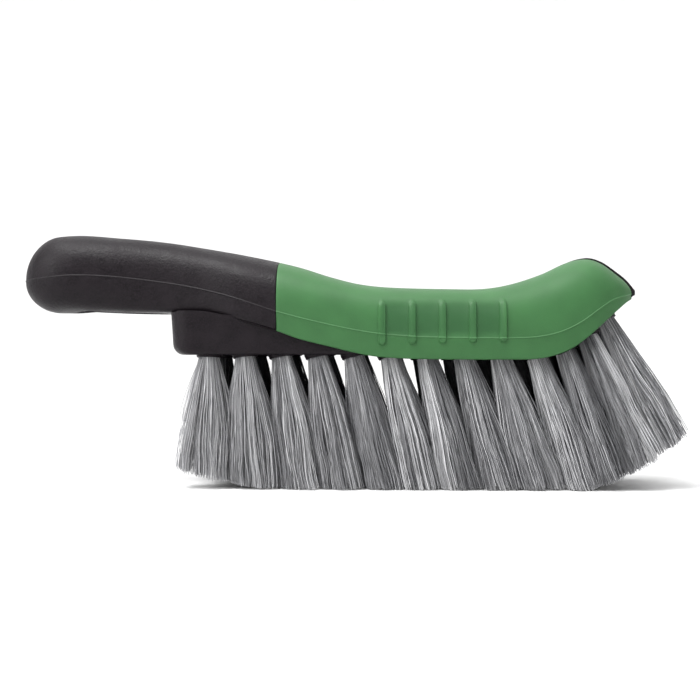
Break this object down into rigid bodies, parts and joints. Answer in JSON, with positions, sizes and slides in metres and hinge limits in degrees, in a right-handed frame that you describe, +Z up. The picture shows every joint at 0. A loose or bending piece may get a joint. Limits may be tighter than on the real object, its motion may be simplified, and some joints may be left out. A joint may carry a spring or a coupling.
{
  "type": "wheel brush",
  "caption": "Hand brush for cleaning road wheels: black moulded handle and block, green ribbed soft grip over the head, leaning silver and charcoal bristle tufts.",
  "frame": {"origin": "on the plane of the trimmed bristle tips, under the middle of the overall length and width", "axes": "+X from the handle towards the nose, +Z up from the bristle tips to the grip, +Y to the far side; the brush is symmetric about the plane Y = 0"},
  "size_m": [0.2765, 0.058, 0.1054],
  "materials": {
    "core_plastic": "satin",
    "grip_rubber": "matte",
    "bristle_silver": "satin",
    "bristle_charcoal": "satin",
    "anchor_steel": "satin"
  },
  "bodies": {
    "root": {"brush_core": "core_plastic", "grip_sleeve": "grip_rubber", "tuft_near_01": "bristle_silver", "tuft_near_02": "bristle_silver", "tuft_near_03": "bristle_silver", "tuft_near_04": "bristle_silver", "tuft_near_05": "bristle_silver", "tuft_near_06": "bristle_silver", "tuft_near_07": "bristle_silver", "tuft_near_08": "bristle_silver", "tuft_near_09": "bristle_silver", "tuft_near_10": "bristle_silver", "tuft_near_11": "bristle_silver", "tuft_near_12": "bristle_silver", "tuft_near_13": "bristle_silver", "tuft_far_01": "bristle_silver", "tuft_far_02": "bristle_silver", "tuft_far_03": "bristle_silver", "tuft_far_04": "bristle_silver", "tuft_far_05": "bristle_silver", "tuft_far_06": "bristle_silver", "tuft_far_07": "bristle_silver", "tuft_far_08": "bristle_silver", "tuft_far_09": "bristle_silver", "tuft_far_10": "bristle_silver", "tuft_far_11": "bristle_silver", "tuft_far_12": "bristle_silver", "tuft_far_13": "bristle_silver", "tuft_middle_01": "bristle_charcoal", "tuft_middle_02": "bristle_charcoal", "tuft_middle_03": "bristle_charcoal", "tuft_middle_04": "bristle_charcoal", "tuft_middle_05": "bristle_charcoal", "tuft_middle_06": "bristle_charcoal", "tuft_middle_07": "bristle_charcoal", "tuft_middle_08": "bristle_charcoal", "tuft_middle_09": "bristle_charcoal", "tuft_middle_10": "bristle_charcoal", "tuft_middle_11": "bristle_charcoal", "tuft_middle_12": "bristle_charcoal", "anchors_near": "anchor_steel", "anchors_middle": "anchor_steel", "anchors_far": "anchor_steel"}
  },
  "joints": []
}
